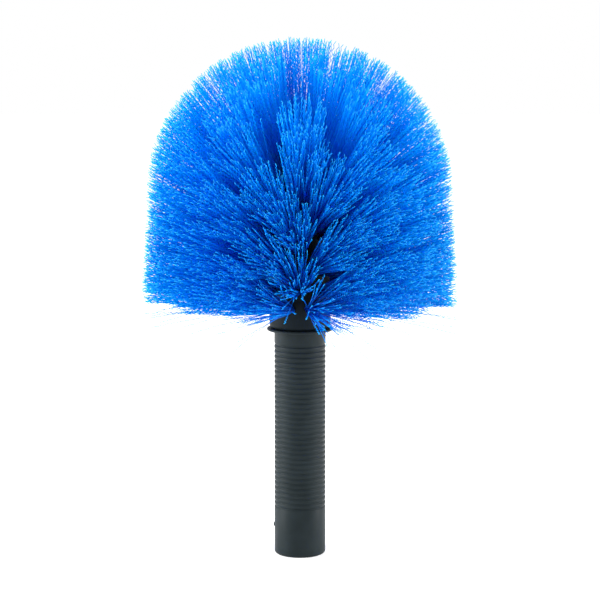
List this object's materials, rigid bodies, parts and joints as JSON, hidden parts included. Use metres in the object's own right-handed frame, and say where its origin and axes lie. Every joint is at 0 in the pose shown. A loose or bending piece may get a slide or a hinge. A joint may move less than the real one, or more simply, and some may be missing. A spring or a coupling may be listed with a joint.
{
  "type": "cobweb brush",
  "caption": "Domed cobweb brush head: stiff blue filament tufts in a bullet-shaped black block on a grooved black socket for a pole.",
  "frame": {"origin": "centre of the pole socket's open mouth", "axes": "+Z along the pole socket's axis, from the mouth towards the bristles; the small moulded pip near the mouth is on -X"},
  "size_m": [0.1905, 0.1906, 0.3176],
  "materials": {
    "socket_plastic": "satin",
    "block_plastic": "satin",
    "bristle": "satin",
    "screw_steel": "brushed",
    "anchor_wire": "brushed"
  },
  "bodies": {
    "root": {"socket_tube": "socket_plastic", "brush_block": "block_plastic", "fixing_screw": "screw_steel", "screw_washer": "screw_steel", "bristle_row_01": "bristle", "bristle_row_02": "bristle", "bristle_row_03": "bristle", "bristle_row_04": "bristle", "bristle_row_05": "bristle", "bristle_row_06": "bristle", "bristle_row_07": "bristle", "bristle_row_08": "bristle", "bristle_row_09": "bristle", "tuft_anchors_row_01": "anchor_wire", "tuft_anchors_row_02": "anchor_wire", "tuft_anchors_row_03": "anchor_wire", "tuft_anchors_row_04": "anchor_wire", "tuft_anchors_row_05": "anchor_wire", "tuft_anchors_row_06": "anchor_wire", "tuft_anchors_row_07": "anchor_wire", "tuft_anchors_row_08": "anchor_wire", "tuft_anchors_row_09": "anchor_wire"}
  },
  "joints": []
}
